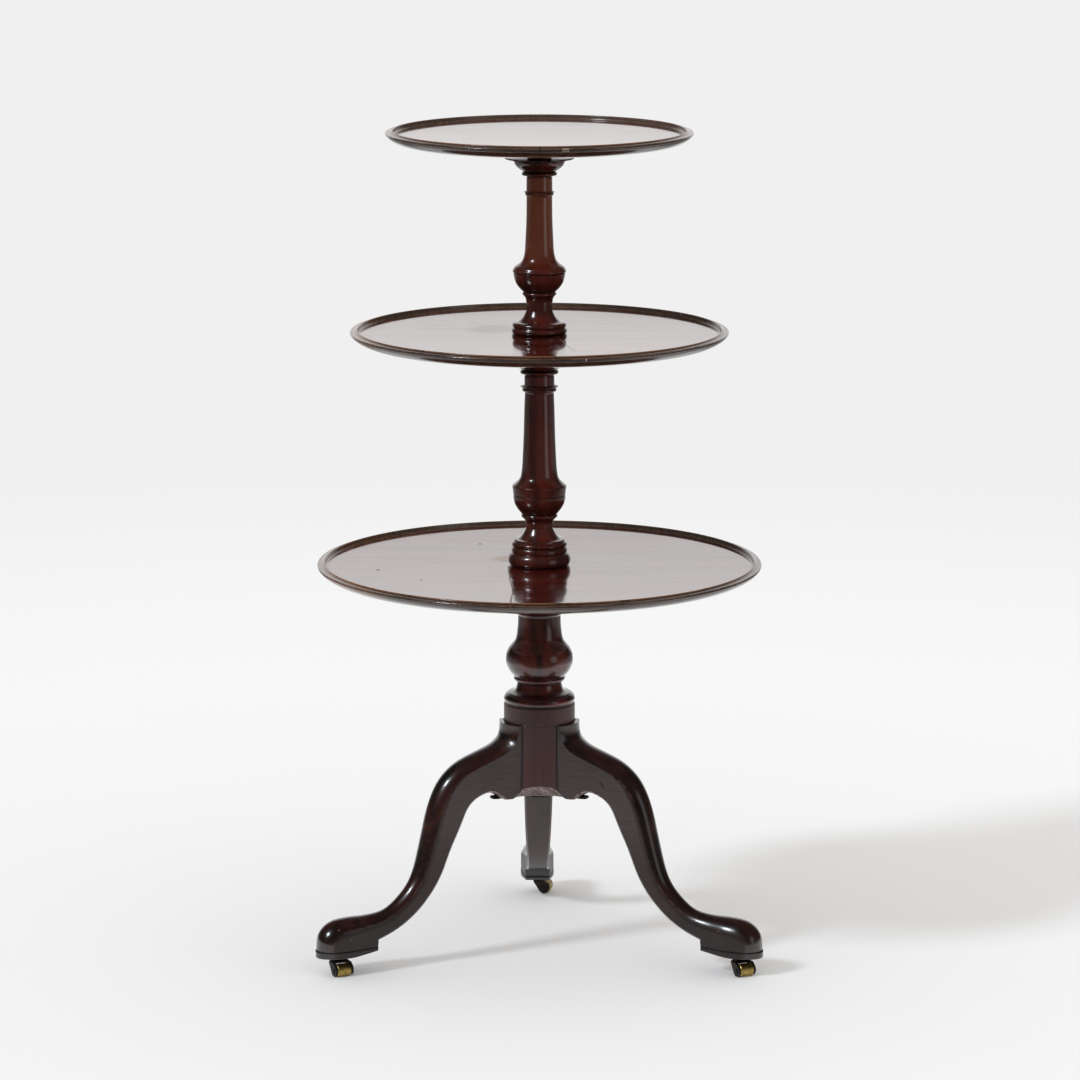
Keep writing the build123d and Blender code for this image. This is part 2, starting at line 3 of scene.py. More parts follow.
import bmesh
import bpy
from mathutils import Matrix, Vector


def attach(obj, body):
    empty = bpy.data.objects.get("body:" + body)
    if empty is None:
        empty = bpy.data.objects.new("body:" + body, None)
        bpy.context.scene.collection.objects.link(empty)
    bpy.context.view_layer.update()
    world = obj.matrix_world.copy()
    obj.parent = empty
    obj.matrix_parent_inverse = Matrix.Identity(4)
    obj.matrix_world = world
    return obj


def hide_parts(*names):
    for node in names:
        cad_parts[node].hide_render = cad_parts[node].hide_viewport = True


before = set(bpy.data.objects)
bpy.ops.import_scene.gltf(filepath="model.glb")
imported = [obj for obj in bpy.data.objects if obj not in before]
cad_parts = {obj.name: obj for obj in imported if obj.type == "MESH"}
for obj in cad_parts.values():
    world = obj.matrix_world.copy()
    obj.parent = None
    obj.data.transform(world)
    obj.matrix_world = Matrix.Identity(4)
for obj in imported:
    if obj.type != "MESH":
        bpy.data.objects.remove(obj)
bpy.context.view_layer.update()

# Camera: where the photograph was taken from, in metres, degrees and millimetres of film
CAMERA_PLACE = (0.0008, -6.4823, 1.7973)
CAMERA_TILT_DOWN = 10.85
CAMERA_LENS_MM = 167.1
SENSOR_MM = 36.0
CAMERA_REACH = 100

# Room: how bright it is for plain surfaces, and for polish that faces its front or its back
BACKDROP = (0.871, 0.871, 0.871)
WARM_WALL = (0.885, 0.862, 0.855)
WARM_FILL = (0.880, 0.871, 0.855)
ROOM_LIGHT = 0.93
FRONT_GLOSS = 0.03
BACK_GLOSS = 0.97
BACK_WALL_FROM = (0.70, 0.97)

# Floor, in metres: it turns into backdrop far away, and looks dim in polish at the front and sides
FLOOR_SIZE = 40.0
FLOOR_COLOUR = (0.930, 0.927, 0.927)
FLOOR_ENDS = (1.5, 4.0)
DIM_FRONT = (-0.90, 0.60)
DIM_AWAY = (1.0, 1.8)
DIM_SLANT = 1.6
DIM_SIDES = (0.5, 1.5)
DIM_SHARE = 0.85

# Lamps
KEY_FROM = (-0.636, -0.421, 0.643)
KEY_COLOUR = (0.930, 1.000, 1.080)
KEY_STRENGTH = 1.0
KEY_SPREAD = 10.0
STRIP_PLACE = (2.6, -2.1, 0.90)
STRIP_TARGET = (0, 0, 0.7)
STRIP_SIZE = (1.20, 1.7)
STRIP_POWER = 4

# Colours of the wood
RED_WOOD = (0.095, 0.0110, 0.0050)
BROWN_WOOD = (0.018, 0.0052, 0.0028)
STEM_RED = (0.090, 0.0145, 0.0085)
STEM_BROWN = (0.034, 0.0075, 0.0045)
TAWNY_WOOD = (0.145, 0.0320, 0.0090)
TRAY_RED = (0.090, 0.0090, 0.0050)
TRAY_BROWN = (0.045, 0.0060, 0.0040)
LEG_WOOD = (0.040, 0.0085, 0.0045)
# A dark wood tone for pores, grain, rims and feet, also laid as painted shade on the undersides of
# turned work and in a band at the torus groove
DARK_WOOD_AND_SHADE = (0.006, 0.0022, 0.0015)
RIM_WOOD = (0.042, 0.0215, 0.0130)
RIM_INSIDE = (0.125, 0.0800, 0.0580)
DULL_WOOD = (0.045, 0.0285, 0.0280)
DULL_RED_WOOD = (0.062, 0.0165, 0.0150)
HUB_WOOD = (0.054, 0.0230, 0.0225)
# Pale sawn wood, partly unfinished wood and partly painted light from the white floor that these
# downward faces see
SAWN_WOOD_AND_FLOOR_LIGHT = (0.300, 0.2250, 0.2150)
# Near-black for real joints, seams and pits, also laid from ambient occlusion as painted shade in
# hollows, together with dark wax
BLACK_WAX_AND_SHADE = (0.003, 0.0018, 0.0015)
# Worn tan wood for crests and scuffs, also laid as a painted reflection on the trays' left end
WORN_WOOD_AND_REFLECTION = (0.230, 0.1000, 0.0450)
# A pale edge colour for worn edges, also laid as a painted highlight on the trays' bead and along
# the legs' arris
WORN_EDGE_AND_HIGHLIGHT = (0.150, 0.0900, 0.0650)
RUBBED_WOOD = (0.420, 0.2000, 0.1200)
OPENED_WOOD = (0.120, 0.0500, 0.0250)
# Pale chips in the wood, also used as painted glints on the rims
CHIP_AND_GLINT_WOOD = (0.420, 0.3300, 0.2700)
SCRATCHED_WOOD = (0.090, 0.0600, 0.0500)

# Colours of the metals, clean and dirty
BLACK_IRON = (0.012, 0.011, 0.011)
RUST = (0.060, 0.035, 0.022)
OLD_BRASS = (0.420, 0.305, 0.095)
TARNISH = (0.200, 0.120, 0.050)
DULL_STEEL = (0.300, 0.290, 0.280)
SCREW_DIRT = (0.070, 0.050, 0.040)

# Polish: the wood's roughness, and the roughness of the clear coat over it
TURNED_POLISH = (0.22, 0.12)
TRAY_POLISH = (0.10, 0.04)
LEG_POLISH = (0.26, 0.18)
CLOUDED = 0.08
OPEN_PORES = 0.08
WOOD_IOR = 1.5
GRAIN_DEPTH = (0.08, 0.002)
TRAY_RIPPLE = 0.10

# Grain: how many waves there are to the metre, along it and across it
STREAKS = (2.2, 34)
PORES = (14, 420)
RIPPLES = (30, 90)
HUB_GRAIN = (9, 380)
LEG_GRAIN = (40, 500)
LEG_LEAN = 40
POLISH_STREAKS = (5, 60)
SAW_CUTS = (700, 240, 60)

# Specks: how many there are to the metre, and how far a crack wanders in metres
CLOUDS = 9.0
BROAD_SPECKS = 22.0
WANDER_SPECKS = 60.0
WANDER_REACH = 0.004
LEG_SPECKS = 130.0
RIM_SPECKS = 150.0
TURNED_SPECKS = 170.0
RUBBED_SPECKS = 520.0

# Kinds of wear, with pale chips that also serve as painted glints: colour, roughness and polish;
# the wear lists below place them, in metres
SCUFF = (WORN_WOOD_AND_REFLECTION, 0.35, 0.6)
RUBBED = (RUBBED_WOOD, 0.45, 0.35)
SMUDGE = (BROWN_WOOD, 0.26, 0.60)
CRACK = (OPENED_WOOD, 0.5, 0.2)
PIT = (BLACK_WAX_AND_SHADE, 0.6, 0.0)
PALE_CHIP_AND_GLINT = (CHIP_AND_GLINT_WOOD, 0.5, 0.2)
SCRATCH = (SCRATCHED_WOOD, 0.4, 0.4)

# How far the painted shade in hollows and the worn sharp edges reach, in metres
TURNED_HOLLOW = 0.0060
TURNED_EDGE = 0.0016
RIM_HOLLOW = 0.0020
LEG_HOLLOW = 0.0030
HOLLOW_SAMPLES = 8

# Trays, in metres
TIERS = ("top", "middle", "bottom")
CREST_HEIGHTS = {"top": 1.0963, "middle": 0.8361, "bottom": 0.5280}
TRAY_RADII = {"top": 0.2004, "middle": 0.2476, "bottom": 0.2925}
BLOCK_RING = 0.0345
TRAY_TURNS = 360
SHARP_EDGE = 32

# Moulded rim, in metres inward from the edge or down from the crest
RIM_WIDTH = 0.0130
RIM_MIDDLE_DROP = 0.0068
BEAD_WIDTH = 0.0020
BEAD_DROP = 0.0030
CREST_INWARD = 0.0086
INSIDE_FROM = (0.0093, 0.0103)
TOP_FACE_DROP = (0.0090, 0.0075)

# Column, in metres
SHAFT_FOOT = (0.912, 0.945)
TORUS_GROOVE_SHADE = 0.3495
TORUS_FOOT = 0.3375
HUB_SEAM = 0.3372
PANEL_TOP = 0.3128
HUB_FOOT = 0.215
HUB_RADIUS = 0.047
SAWN_HEIGHT = 0.020

# Legs, in degrees and metres
SIDES = ("left", "right", "back")
LEG_AZIMUTHS = {"left": -154.0, "right": -26.0, "back": 90.6}
LEG_HALF_THICKNESS = 0.0275
SHIN_GRIME = (0.110, 0.100)
FOOT_GRIME = (0.060, 0.020)
SOLE_TOP = 0.034


class Socket:
    """A value in a material, whose sums and products add Math nodes."""

    def __init__(self, paint, socket):
        self.paint = paint
        self.socket = socket

    def math(self, operation, *terms):
        return self.paint.node("ShaderNodeMath", {"operation": operation}, dict(enumerate(terms)))

    def __add__(self, other):
        return self.math("ADD", self, other)

    def __radd__(self, other):
        return self.math("ADD", other, self)

    def __sub__(self, other):
        return self.math("SUBTRACT", self, other)

    def __rsub__(self, other):
        return self.math("SUBTRACT", other, self)

    def __mul__(self, other):
        return self.math("MULTIPLY", self, other)

    def __rmul__(self, other):
        return self.math("MULTIPLY", other, self)

    def __abs__(self):
        return self.math("ABSOLUTE", self)

    def root(self):
        return self.math("SQRT", self)

    def larger(self, other):
        return self.math("MAXIMUM", self, other)

    def smaller(self, other):
        return self.math("MINIMUM", self, other)

    def rise(self, low, high):
        """Rise smoothly from 0 at low to 1 at high."""
        return self.paint.node(
            "ShaderNodeMapRange",
            {"interpolation_type": "SMOOTHSTEP"},
            {"Value": self, "From Min": low, "From Max": high},
        )

    def near(self, middle, width):
        """Give 1 at middle, and fall to 0 at a width either side."""
        return 1 - abs(self - middle).rise(0, width)

    def below(self, level, blur):
        """Give 1 under a level, and fall to 0 within a blur over it."""
        return 1 - self.rise(level, level + blur)

    def output(self, name):
        return Socket(self.paint, self.socket.node.outputs[name])


class Paint:
    """A node tree that is filled by calls."""

    def __init__(self, tree):
        self.tree = tree
        tree.nodes.clear()

    def node(self, kind, settings=None, values=None):
        """Add a node with its settings first, then the values or links of its sockets."""
        made = self.tree.nodes.new(kind)
        for name, value in (settings or {}).items():
            setattr(made, name, value)
        for name, value in (values or {}).items():
            self.join(made.inputs[name], value)
        enabled = [output for output in made.outputs if output.enabled]
        return Socket(self, enabled[0]) if enabled else None

    def join(self, target, value):
        """Link a socket to another, or set a number or a colour on it."""
        if isinstance(value, Socket):
            self.tree.links.new(value.socket, target)
        elif isinstance(value, tuple) and len(value) < len(target.default_value):
            target.default_value = (*value, 1)
        else:
            target.default_value = value

    def mix(self, share, first, second):
        """Blend two colours by a share."""
        mixer = self.tree.nodes.new("ShaderNodeMix")
        mixer.data_type = "RGBA"
        self.join(mixer.inputs["Factor"], share)
        self.join(mixer.inputs[6], first)
        self.join(mixer.inputs[7], second)
        return Socket(self, mixer.outputs[2])

    def vector(self, x, y, z):
        return self.node("ShaderNodeCombineXYZ", None, {"X": x, "Y": y, "Z": z})

    def split(self, vector):
        """Give the X, Y and Z of a vector."""
        parts = self.node("ShaderNodeSeparateXYZ", None, {"Vector": vector})
        return parts.output("X"), parts.output("Y"), parts.output("Z")

    def noise(self, place, scale, detail=2.0, roughness=0.5, distortion=0.0):
        return self.node("ShaderNodeTexNoise", None, {
            "Vector": place,
            "Scale": scale,
            "Detail": detail,
            "Roughness": roughness,
            "Distortion": distortion,
        })

    def specks(self, place, scale, detail=2.0, roughness=0.5):
        """Give noise that is the same size in every direction."""
        return self.noise(self.vector(*place), scale, detail, roughness)

    def grain(self, directions, waves, detail, roughness, distortion=0.0):
        """Give noise that is drawn out along the first of three directions."""
        first, second, third = directions
        along, across = waves
        place = self.vector(first * along, second * across, third * across)
        return self.noise(place, 1.0, detail, roughness, distortion)

    def bump(self, height, strength, distance):
        return self.node("ShaderNodeBump", None, {
            "Height": height,
            "Strength": strength,
            "Distance": distance,
        })


def new_material(name):
    """Make an empty material, and give it with its paint."""
    material = bpy.data.materials.new(name)
    material.use_nodes = True
    return material, Paint(material.node_tree)


def place_of(paint):
    """Give the X, Y and Z of a point in the part's frame."""
    return paint.split(paint.node("ShaderNodeTexCoord").output("Object"))


def normal_of(paint):
    """Give the X, Y and Z of the surface's normal."""
    return paint.split(paint.node("ShaderNodeNewGeometry").output("Normal"))


def finish_surface(paint, values):
    """Join a material's values to its surface."""
    surface = paint.node("ShaderNodeBsdfPrincipled", None, values)
    paint.node("ShaderNodeOutputMaterial", None, {"Surface": surface})


def crevice(paint, reach, inside=False):
    """Give 1 in hollows narrower than a reach, or inside on sharp edges, and 0 on open faces; read
    from ambient occlusion, it places the painted shade of hollows and the wear of sharp edges.
    """
    settings = {"inside": inside, "samples": HOLLOW_SAMPLES}
    opening = paint.node("ShaderNodeAmbientOcclusion", settings, {"Distance": reach}).output("AO")
    return 1 - opening.rise(0.35, 0.90)


def spot(x, y, centre, radius):
    """Give 1 at a centre, falling to 0 at a radius."""
    across, up = x - centre[0], y - centre[1]
    return 1 - (across * across + up * up).root().rise(radius * 0.4, radius)


def stroke(x, y, start, end, width):
    """Give 1 on a line between two points, falling to 0 at a width either side."""
    run_x, run_y = end[0] - start[0], end[1] - start[1]
    length_squared = run_x ** 2 + run_y ** 2
    share_x, share_y = run_x / length_squared, run_y / length_squared
    along = (x - start[0]) * share_x + (y - start[1]) * share_y
    along = along.larger(0).smaller(1)
    across, up = x - start[0] - along * run_x, y - start[1] - along * run_y
    return 1 - (across * across + up * up).root().rise(width * 0.3, width)


def leg_place(side, x, y):
    """Turn X and Y so that they run out along a leg, and crosswise to it."""
    turn = radians(LEG_AZIMUTHS[side])
    return x * cos(turn) + y * sin(turn), y * cos(turn) - x * sin(turn)


class Finish:
    """A wood finish that is laid in coats: a colour, a roughness and a polish."""

    def __init__(self, paint, colour, roughness):
        self.paint = paint
        self.colour = colour
        self.roughness = roughness
        self.polish = 1.0

    def lay(self, mask, colour=None, roughness=None, polish=None):
        """Lay another finish where the mask is 1."""
        if colour:
            self.colour = self.paint.mix(mask, self.colour, colour)
        if roughness is not None:
            self.roughness = self.roughness + (roughness - self.roughness) * mask
        if polish is not None:
            self.polish = self.polish + (polish - self.polish) * mask


def mahogany(name, directions, tones, polish, lay_marks, ripple=0.0):
    """Make polished mahogany with streaks, open pores, faint clouds and a piece's own marks."""
    material, paint = new_material(name)
    place = place_of(paint)
    run = directions(*place)
    roughness, coat_roughness = polish
    streaks = paint.grain(run, STREAKS, 4.0, 0.55, 0.6)
    pores = paint.grain(run, PORES, 2.0, 0.6)
    clouds = paint.specks(place, CLOUDS, 3.0)
    colour = paint.mix((streaks * 0.7 + clouds * 0.3).rise(0.40, 0.62), *tones)
    finish = Finish(paint, colour, clouds.rise(0.35, 0.75) * CLOUDED + roughness)
    finish.lay(pores.rise(0.58, 0.72) * 0.6, DARK_WOOD_AND_SHADE, roughness + OPEN_PORES)
    lay_marks(finish, place, clouds)
    height = pores * -0.15 + clouds * 0.6 + paint.grain(run, RIPPLES, 2.0, 0.5) * ripple
    finish_surface(paint, {
        "Base Color": finish.colour,
        "Roughness": finish.roughness,
        "IOR": WOOD_IOR,
        "Coat Weight": finish.polish,
        "Coat Roughness": coat_roughness,
        "Normal": paint.bump(height, *GRAIN_DEPTH),
    })
    return material


def upright_grain(x, y, z):
    """Run the grain up the piece."""
    return z, x, y


def level_grain(x, y, z):
    """Run the grain from left to right."""
    return x, y, z


def leg_grain(side):
    """Run the grain of a leg out and down."""
    outward, downward = cos(radians(LEG_LEAN)), sin(radians(LEG_LEAN))

    def leaning_grain(x, y, z):
        out, crosswise = leg_place(side, x, y)
        return out * outward - z * downward, crosswise, out * downward + z * outward

    return leaning_grain


def tray_marks(tier):
    """Age one tray: its rim, then its own knocks and scratches."""
    radius, crest = TRAY_RADII[tier], CREST_HEIGHTS[tier]

    def lay_marks(finish, place, clouds):
        paint = finish.paint
        x, y, z = place
        along, across = POLISH_STREAKS
        streaked = paint.noise(paint.vector(x * along, y * across, z), 1.0, 3.0, 0.6)
        finish.lay(streaked.rise(0.40, 0.75) * 0.4, None, 0.24, 0.85)
        lay_rim(finish, place, radius - (x * x + y * y).root(), z - crest)
        low, high = TOP_FACE_DROP
        top_face = (z - crest).rise(-low, -high)
        wander = (paint.specks(place, WANDER_SPECKS) - 0.5) * WANDER_REACH
        patchy = paint.specks(place, RUBBED_SPECKS, 3.0, 0.7).rise(0.40, 0.56)
        for kind, mask in TRAY_WEAR[tier](x + wander, x, y):
            finish.lay(mask * (top_face * patchy if kind is RUBBED else top_face), *kind)

    return lay_marks


def lay_rim(finish, place, inward, up):
    """Darken a tray's moulded rim with painted shade in its hollows, and wear its crest; its bead
    and its left end are laid paler, partly as wear and partly as painted highlight and painted
    reflection.
    """
    paint = finish.paint
    x, y, z = place
    ragged = paint.specks(place, RIM_SPECKS, 3.0, 0.6)
    broad = paint.specks(place, BROAD_SPECKS)
    uneven = ragged * 0.4 + broad * 0.6
    near_rim = inward.below(RIM_WIDTH, 0.030) * broad.rise(0.35, 0.65)
    finish.lay(near_rim * x.below(-0.150, 0.080) * 0.50, WORN_WOOD_AND_REFLECTION, 0.22, 0.80)
    rim = inward.below(RIM_WIDTH, 0.0006)
    finish.lay(rim, RIM_WOOD, 0.26, 0.8)
    finish.lay(rim * ragged.rise(0.40, 0.65) * 0.6, DARK_WOOD_AND_SHADE)
    # Painted shade in the rim's hollows, from ambient occlusion, partly dark wax
    finish.lay(crevice(paint, RIM_HOLLOW) * rim * 0.8, BLACK_WAX_AND_SHADE, 0.4)
    inside = rim * inward.rise(*INSIDE_FROM)
    finish.lay(inside * (ragged.rise(0.30, 0.60) * 0.35 + 0.60), RIM_INSIDE)
    handled = y.below(-0.050, 0.200) * 0.65 + 0.35
    crest_line = inward.near(CREST_INWARD, 0.0024) * up.rise(-0.0022, -0.0010) * handled
    finish.lay(crest_line * uneven.rise(0.32, 0.50), WORN_WOOD_AND_REFLECTION, 0.32, 0.6)
    # The rim's left end is laid tan: partly wear, partly a painted reflection on its curved top
    finish.lay(rim * x.below(-0.235, 0.050) * ragged.rise(0.25, 0.60) * 0.6, WORN_WOOD_AND_REFLECTION)
    bead = inward.below(BEAD_WIDTH, 0.0010) * up.near(-BEAD_DROP, 0.0016)
    # The bead is painted paler: partly wear, partly a painted highlight along its top
    finish.lay(bead * uneven.rise(0.40, 0.58) * 0.7, WORN_EDGE_AND_HIGHLIGHT)


def bottom_tray_wear(wandering, x, y):
    """List the bottom tray's crack, scuff, ring, joint, pits, and pale chips that are partly
    painted glints.
    """
    return [
        (CRACK, stroke(wandering, y, (-0.0410, -0.010), (-0.0385, -0.085), 0.0016) * 0.8),
        (CRACK, stroke(wandering, y, (-0.0385, -0.085), (-0.0335, -0.190), 0.0016) * 0.9),
        (CRACK, stroke(wandering, y, (-0.0335, -0.190), (-0.0370, -0.245), 0.0016) * 0.9),
        (CRACK, stroke(wandering, y, (-0.0360, -0.240), (-0.0360, -0.295), 0.0012)),
        (RUBBED, spot(x, y, (-0.0430, 0.0400), 0.0300) * 0.9),
        (CRACK, (x * x + y * y).root().near(BLOCK_RING, 0.0014) * 0.8),
        (CRACK, stroke(wandering, y, (-0.2038, 0.170), (-0.2038, 0.215), 0.0012)),
        (PIT, spot(x, y, (-0.2115, -0.037), 0.0040)),
        (PIT, spot(x, y, (-0.1536, -0.104), 0.0028)),
        (PIT, spot(x, y, (-0.0799, 0.143), 0.0035)),
        (PALE_CHIP_AND_GLINT, spot(x, y, (-0.2906, -0.054), 0.0050)),
        (PALE_CHIP_AND_GLINT, spot(x, y, (0.134, -0.234), 0.0022)),
        (PALE_CHIP_AND_GLINT, spot(x, y, (0.153, -0.234), 0.0018)),
    ]


def middle_tray_wear(wandering, x, y):
    """List the middle tray's smudge, scratches, and pale chips that are partly painted glints."""
    return [
        (SMUDGE, spot(x, y, (-0.0600, 0.0350), 0.0500) * 0.5),
        (SCRATCH, stroke(x, y, (-0.095, 0.095), (-0.045, 0.045), 0.0014) * 0.5),
        (SCRATCH, stroke(x, y, (-0.070, 0.104), (-0.042, 0.062), 0.0012) * 0.4),
        (SCRATCH, stroke(wandering, y, (0.0203, -0.017), (0.0454, -0.163), 0.0012) * 0.7),
        (PALE_CHIP_AND_GLINT, spot(x, y, (0.002, -0.2350), 0.0016)),
        (PALE_CHIP_AND_GLINT, spot(x, y, (0.059, -0.2400), 0.0010)),
    ]


def top_tray_wear(wandering, x, y):
    """List the top tray's pale chip, which is partly a painted glint, its joint at the rim and a
    faint scratch.
    """
    return [
        (PALE_CHIP_AND_GLINT, stroke(x, y, (0.029, -0.1975), (0.037, -0.1962), 0.0008)),
        (PIT, stroke(x, y, (0.0005, -0.190), (0.0005, -0.202), 0.0008)),
        (SCRATCH, stroke(x, y, (-0.100, -0.040), (-0.040, -0.070), 0.0010) * 0.5),
    ]


TRAY_WEAR = {"top": top_tray_wear, "middle": middle_tray_wear, "bottom": bottom_tray_wear}


def turned_marks(finish, place, clouds):
    """Paint shade on the undersides of turned work and in its hollows, where dark wax also lies,
    and wear its sharp edges a little.
    """
    paint = finish.paint
    ragged = paint.specks(place, TURNED_SPECKS, 3.0, 0.6)
    # Painted shade: faces that look down are darkened as if they were in shadow
    underside = (normal_of(paint)[2] * -1).rise(0.05, 0.75)
    finish.lay(underside * 0.70, DARK_WOOD_AND_SHADE)
    # Painted shade in hollows, from ambient occlusion, partly dark wax
    finish.lay(crevice(paint, TURNED_HOLLOW) * 0.9, BLACK_WAX_AND_SHADE, 0.35)
    finish.lay(crevice(paint, TURNED_EDGE, True) * ragged.rise(0.36, 0.58) * 0.8, WORN_EDGE_AND_HIGHLIGHT)


def upper_stem_marks(finish, place, clouds):
    """Leave the upper stem's shaft lighter and tawny, where it is handled."""
    shaft = place[2].rise(*SHAFT_FOOT)
    finish.lay(shaft * (clouds.rise(0.35, 0.60) * 0.35 + 0.55), TAWNY_WOOD)
    turned_marks(finish, place, clouds)


def column_marks(finish, place, clouds):
    """Dull the hub under its torus, darken its joints, and paint a band of shade around the torus
    groove.
    """
    turned_marks(finish, place, clouds)
    paint = finish.paint
    x, y, z = place
    hub = z.below(TORUS_FOOT, 0.0008)
    hub_colour = paint.mix(clouds.rise(0.42, 0.62), HUB_WOOD, DULL_RED_WOOD)
    along, across = HUB_GRAIN
    hub_grain = paint.noise(paint.vector(x * across, y * across, z * along), 1.0, 3.0, 0.65)
    finish.lay(hub, hub_colour, 0.42, 0.20)
    finish.lay(hub * hub_grain.rise(0.45, 0.75) * 0.5, BROWN_WOOD)
    lay_sawn_faces(finish, place)
    finish.lay(z.near(HUB_SEAM, 0.0016) * 0.95, BLACK_WAX_AND_SHADE, 0.5)
    # Painted shade: a dark band around the torus and its groove
    finish.lay(z.near(TORUS_GROOVE_SHADE, 0.0070) * 0.85, DARK_WOOD_AND_SHADE)
    finish.lay(z.near(PANEL_TOP, 0.0007) * 0.7, BLACK_WAX_AND_SHADE, 0.5)
    beside_panels = z.below(PANEL_TOP, 0.0005)
    for side in SIDES:
        out, crosswise = leg_place(side, x, y)
        joint = abs(crosswise).near(LEG_HALF_THICKNESS, 0.0011) * out.rise(0, 0.005)
        finish.lay(joint * beside_panels, BLACK_WAX_AND_SHADE, 0.5, 0.1)


def lay_sawn_faces(finish, place):
    """Leave the faces that look down at the hub pale, with slanting saw marks; the paleness is
    partly unfinished sawn wood and partly painted light from the white floor below.
    """
    paint = finish.paint
    x, y, z = place
    downward = normal_of(paint)[2] * -1
    first, second, third = SAW_CUTS
    slanting = paint.vector((x + z) * first, (y + z) * second, (x - z) * third)
    cuts = paint.noise(slanting, 1.0, 2.0, 0.6)
    sawn = downward.rise(0.35, 0.50) * z.rise(HUB_FOOT - 0.004, HUB_FOOT)
    sawn = sawn * z.below(HUB_FOOT + SAWN_HEIGHT, 0.002)
    finish.lay(sawn, paint.mix(cuts.rise(0.40, 0.62), DULL_WOOD, SAWN_WOOD_AND_FLOOR_LIGHT), 0.6, 0.0)


def leg_marks(side):
    """Age one leg: dull flat sides, a polished crown with a worn arris that also carries a painted
    highlight, and its own knocks.
    """

    def lay_marks(finish, place, clouds):
        paint = finish.paint
        x, y, z = place
        out, crosswise = leg_place(side, x, y)
        normal_x, normal_y, upward = normal_of(paint)
        sideways = abs(leg_place(side, normal_x, normal_y)[1])
        ragged = paint.specks(place, LEG_SPECKS, 3.0, 0.6)
        grain = paint.grain((out, crosswise, z), LEG_GRAIN, 3.0, 0.6)
        flat = sideways.rise(0.90, 0.985)
        finish.lay(flat, DULL_WOOD, 0.42, 0.30)
        finish.lay(flat * grain.rise(0.40, 0.75) * 0.6, BROWN_WOOD)
        finish.lay(flat * z.below(*SHIN_GRIME) * 0.75, BROWN_WOOD, 0.45, 0.0)
        under = (upward * -1).rise(0.30, 0.60) * (1 - sideways.rise(0.5, 0.8))
        finish.lay(under * 0.7, DULL_WOOD, 0.5, 0.1)
        lay_sawn_faces(finish, place)
        # The arris line is painted paler: partly wear, partly a painted highlight
        arris = sideways.near(0.90, 0.05) * upward.rise(0.05, 0.25)
        finish.lay(arris * ragged.rise(0.36, 0.66) * 0.45, WORN_EDGE_AND_HIGHLIGHT)
        # Painted shade in the leg's hollows, from ambient occlusion, partly dark wax
        finish.lay(crevice(paint, LEG_HOLLOW) * 0.8, BLACK_WAX_AND_SHADE, 0.5)
        hub_joint = (x * x + y * y).root().below(HUB_RADIUS + 0.0006, 0.0012)
        finish.lay(hub_joint, BLACK_WAX_AND_SHADE, 0.5, 0.1)
        finish.lay(z.below(*FOOT_GRIME) * 0.5, DARK_WOOD_AND_SHADE)
        finish.lay((z.near(SOLE_TOP, 0.0018) * 1.6).smaller(1), BLACK_WAX_AND_SHADE, 0.9, 0.0)
        front_side = crosswise if side == "left" else crosswise * -1
        for kind, mask in LEG_WEAR[side](out, z):
            finish.lay(mask * front_side.rise(0, 0.004), *kind)

    return lay_marks


def left_leg_wear(out, z):
    """List the left leg's crack and knocks."""
    return [
        (PIT, stroke(out, z, (0.160, 0.1892), (0.176, 0.1910), 0.0012)),
        (SCUFF, spot(out, z, (0.1734, 0.1772), 0.0024)),
        (SCUFF, spot(out, z, (0.1880, 0.1382), 0.0022)),
        (SCUFF, spot(out, z, (0.2994, 0.0640), 0.0012)),
        (SCUFF, spot(out, z, (0.2852, 0.0500), 0.0010)),
    ]


def right_leg_wear(out, z):
    """List the right leg's knocks."""
    return [
        (PIT, stroke(out, z, (0.1000, 0.2420), (0.1050, 0.2350), 0.0016)),
        (SCUFF, spot(out, z, (0.2700, 0.0600), 0.0012)),
    ]


def back_leg_wear(out, z):
    """List the back leg's knock."""
    return [(PIT, spot(out, z, (0.200, 0.150), 0.0025))]


LEG_WEAR = {"left": left_leg_wear, "right": right_leg_wear, "back": back_leg_wear}


def old_metal(name, clean, dirty, specks, spread, metallic, dullness, dents=None):
    """Make a metal whose dirt, roughness and small dents follow the same specks."""
    material, paint = new_material(name)
    dirt = paint.specks(place_of(paint), *specks)
    share, smoothest = dullness
    values = {
        "Base Color": paint.mix(dirt.rise(*spread), clean, dirty),
        "Metallic": metallic,
        "Roughness": dirt * share + smoothest,
    }
    if dents:
        values["Normal"] = paint.bump(dirt, *dents)
    finish_surface(paint, values)
    return material


def dress(names, material):
    """Give a material to pieces that keep their CAD shape."""
    for name in names:
        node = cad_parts[name]
        node.data.materials.clear()
        node.data.materials.append(material)


def rim_profile(node, radius, crest):
    """Read the rim's outline from the board's seam, from the dished floor to the underside."""
    middle = (radius - RIM_WIDTH / 2, crest - RIM_MIDDLE_DROP)
    seam = {
        (round(vertex.co.x, 5), round(vertex.co.z, 5))
        for vertex in node.data.vertices
        if abs(vertex.co.y) < 1e-6 and vertex.co.x > radius - 3 * RIM_WIDTH
    }
    return sorted(seam, key=lambda point: -atan2(point[1] - middle[1], point[0] - middle[0]))


def board_profile(tier, node):
    """Give a board's outline, from its middle to its rim and back, closed where it is bored."""
    rim = rim_profile(node, TRAY_RADII[tier], CREST_HEIGHTS[tier])
    if tier == "top":
        return [(0.0, rim[0][1]), *rim, (0.0, rim[-1][1])]
    bore = min(hypot(vertex.co.x, vertex.co.y) for vertex in node.data.vertices)
    return [(bore, rim[0][1]), *rim, (bore, rim[-1][1]), (bore, rim[0][1])]


